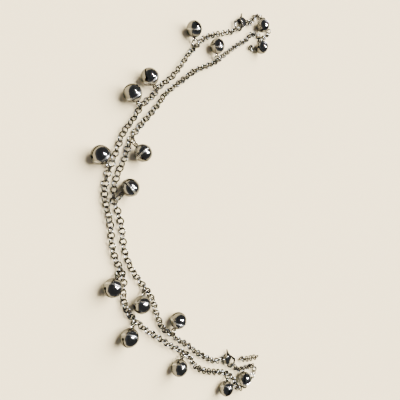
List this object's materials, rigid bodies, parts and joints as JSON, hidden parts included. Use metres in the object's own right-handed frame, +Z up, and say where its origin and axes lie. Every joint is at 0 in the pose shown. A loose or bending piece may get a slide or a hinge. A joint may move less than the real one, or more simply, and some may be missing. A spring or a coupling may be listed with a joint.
{
  "type": "payal anklet",
  "caption": "Silver-tone ankle chain laid flat as two side-by-side rows of rolo links joined at both tips, with small round slit bells on jump rings and sprung lobster clasps.",
  "frame": {"origin": "on the surface the anklet lies on, under the middle of its bounding box", "axes": "+Z up from the surface, +Y along the long side of the laid-out loop toward the upper tip, +X toward the side that both tips point to"},
  "size_m": [0.1065, 0.1958, 0.0068],
  "materials": {
    "chain": "polished silver plate, round wire links",
    "bells": "mirror-polished silver plate",
    "rings": "polished silver-plated wire",
    "clasps": "polished silver-plated casting"
  },
  "bodies": {
    "anklet": {"row_one_run_01": "chain", "row_one_run_02": "chain", "row_one_run_03": "chain", "row_one_run_04": "chain", "row_one_run_05": "chain", "row_one_run_06": "chain", "row_one_run_07": "chain", "row_one_run_08": "chain", "row_one_run_09": "chain", "row_two_run_01": "chain", "row_two_run_02": "chain", "row_two_run_03": "chain", "row_two_run_04": "chain", "row_two_run_05": "chain", "row_two_run_06": "chain", "row_two_run_07": "chain", "bell_01": "bells", "bell_ring_01": "rings", "bell_02": "bells", "bell_ring_02": "rings", "bell_03": "bells", "bell_ring_03": "rings", "bell_04": "bells", "bell_ring_04": "rings", "bell_05": "bells", "bell_ring_05": "rings", "bell_06": "bells", "bell_ring_06": "rings", "bell_07": "bells", "bell_ring_07": "rings", "bell_08": "bells", "bell_ring_08": "rings", "bell_09": "bells", "bell_ring_09": "rings", "bell_10": "bells", "bell_ring_10": "rings", "bell_11": "bells", "bell_ring_11": "rings", "bell_12": "bells", "bell_ring_12": "rings", "bell_13": "bells", "bell_ring_13": "rings", "bell_14": "bells", "bell_ring_14": "rings", "bell_15": "bells", "bell_ring_15": "rings", "bell_16": "bells", "bell_ring_16": "rings", "upper_tail": "chain", "lower_tail": "chain", "upper_clasp_body": "clasps", "lower_clasp_body": "clasps", "upper_hook_ring": "rings", "lower_hook_ring": "rings", "upper_eye_ring": "rings", "lower_eye_ring": "rings"},
    "upper_lever": {"upper_clasp_lever": "clasps"},
    "lower_lever": {"lower_clasp_lever": "clasps"}
  },
  "joints": [
    {"name": "upper_lever_hinge", "type": "hinge", "parent": "anklet", "child": "upper_lever", "pos_m": [0.02704, 0.08828, 0.0013], "axis": [0, 0, 1], "range_deg": [0, 20], "stiffness_Nm_per_rad": 0.01, "springref_deg": -17.19},
    {"name": "lower_lever_hinge", "type": "hinge", "parent": "anklet", "child": "lower_lever", "pos_m": [0.01709, -0.07735, 0.0013], "axis": [0, 0, -1], "range_deg": [0, 20], "stiffness_Nm_per_rad": 0.01, "springref_deg": -17.19}
  ]
}
